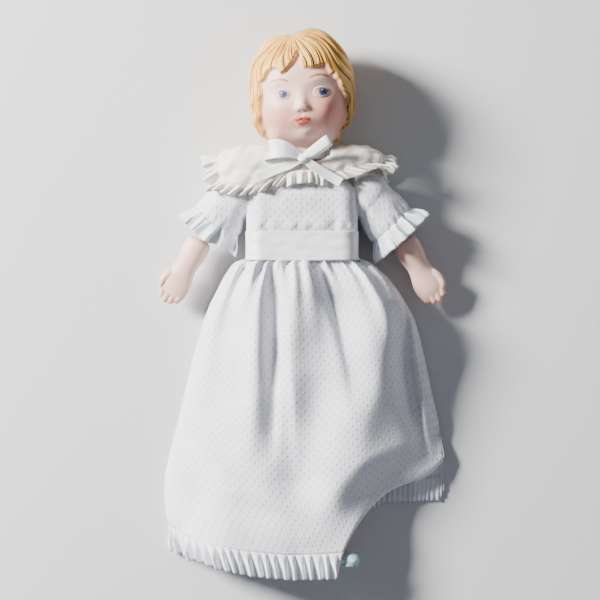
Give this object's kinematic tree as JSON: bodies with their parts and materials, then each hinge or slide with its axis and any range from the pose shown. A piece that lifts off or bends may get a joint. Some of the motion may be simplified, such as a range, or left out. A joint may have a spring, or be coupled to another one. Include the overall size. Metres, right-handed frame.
{
  "type": "porcelain doll",
  "caption": "Small porcelain doll lying on its back, with bisque head and limbs on a stuffed cloth body, in a frilled dotted frock with a satin sash and a neck bow.",
  "frame": {"origin": "middle of the doll's outline on the surface it lies on", "axes": "+Y to the crown, +X to the doll's left, +Z out of the chest; the doll rests on Z = 0 on its back"},
  "size_m": [0.1072, 0.2063, 0.0387],
  "materials": {
    "bisque_head": "matt bisque, painted hair, eyes, cheeks and lips",
    "bisque_arm": "matt pink bisque",
    "bisque_leg": "matt bisque with painted pale blue shoes",
    "thread": "twisted cotton thread",
    "muslin": "unbleached plain weave",
    "fibre_fill": "loose polyester fibre",
    "dotted_swiss": "sheer white weave with raised pinkish-grey dots",
    "snap_metal": "small sew-on press studs",
    "satin_ribbon": "pearl white satin",
    "frill_cotton": "crisp white pleated weave",
    "collar_cotton": "cream plain weave"
  },
  "bodies": {
    "torso": {"shoulder_head": "bisque_head", "plate_stitches": "thread", "torso_casing": "muslin", "torso_stuffing": "fibre_fill", "bodice": "dotted_swiss", "back_snaps": "snap_metal", "waist_sash": "satin_ribbon", "skirt": "dotted_swiss", "hem_ruffle": "frill_cotton", "left_collar": "collar_cotton", "right_collar": "collar_cotton", "left_collar_ruffle": "collar_cotton", "right_collar_ruffle": "collar_cotton", "neck_ribbon": "satin_ribbon", "neck_bow": "satin_ribbon"},
    "hip": {"hip_flap": "muslin"},
    "left_shoulder": {"left_shoulder_tab": "muslin"},
    "left_upper_arm": {"left_arm_casing": "muslin", "left_arm_stuffing": "fibre_fill", "left_sleeve": "dotted_swiss", "left_sleeve_ruffle": "frill_cotton"},
    "left_forearm": {"left_arm_cuff": "muslin", "left_arm_tie": "thread", "left_forearm": "bisque_arm"},
    "left_leg": {"left_thigh_casing": "muslin", "left_thigh_stuffing": "fibre_fill", "left_leg_tie": "thread", "left_lower_leg": "bisque_leg"},
    "right_shoulder": {"right_shoulder_tab": "muslin"},
    "right_upper_arm": {"right_arm_casing": "muslin", "right_arm_stuffing": "fibre_fill", "right_sleeve": "dotted_swiss", "right_sleeve_ruffle": "frill_cotton"},
    "right_forearm": {"right_arm_cuff": "muslin", "right_arm_tie": "thread", "right_forearm": "bisque_arm"},
    "right_leg": {"right_thigh_casing": "muslin", "right_thigh_stuffing": "fibre_fill", "right_leg_tie": "thread", "right_lower_leg": "bisque_leg"}
  },
  "joints": [
    {"name": "left_shoulder_swing", "type": "hinge", "parent": "torso", "child": "left_shoulder", "pos_m": [0.0246, 0.04, 0.0114], "axis": [-1, 0, 0], "range_deg": [0, 90], "deforming": ["left_collar", "left_collar_ruffle"]},
    {"name": "left_arm_spread", "type": "hinge", "parent": "left_shoulder", "child": "left_upper_arm", "pos_m": [0.0246, 0.04, 0.0114], "axis": [0, -0.1045, 0.9945], "range_deg": [-5, 45]},
    {"name": "left_elbow", "type": "hinge", "parent": "left_upper_arm", "child": "left_forearm", "pos_m": [0.03474, 0.02956, 0.0103], "axis": [-0.7193, -0.6909, -0.0726], "range_deg": [0, 28]},
    {"name": "right_shoulder_swing", "type": "hinge", "parent": "torso", "child": "right_shoulder", "pos_m": [-0.0246, 0.04, 0.0114], "axis": [-1, 0, 0], "range_deg": [0, 90], "deforming": ["right_collar", "right_collar_ruffle"]},
    {"name": "right_arm_spread", "type": "hinge", "parent": "right_shoulder", "child": "right_upper_arm", "pos_m": [-0.0246, 0.04, 0.0114], "axis": [0, 0.1045, -0.9945], "range_deg": [-5, 45]},
    {"name": "right_elbow", "type": "hinge", "parent": "right_upper_arm", "child": "right_forearm", "pos_m": [-0.03474, 0.02956, 0.0103], "axis": [-0.7193, 0.6909, 0.0726], "range_deg": [0, 28]},
    {"name": "sit_fold", "type": "hinge", "parent": "torso", "child": "hip", "pos_m": [0, -0.0048, 0.0098], "axis": [-1, 0, 0], "range_deg": [0, 90], "deforming": ["skirt", "hem_ruffle"]},
    {"name": "left_leg_spread", "type": "hinge", "parent": "hip", "child": "left_leg", "pos_m": [0.0076, -0.0099, 0.0098], "axis": [0, 0, 1], "range_deg": [0, 12]},
    {"name": "right_leg_spread", "type": "hinge", "parent": "hip", "child": "right_leg", "pos_m": [-0.0076, -0.0099, 0.0098], "axis": [0, 0, -1], "range_deg": [0, 12]}
  ]
}
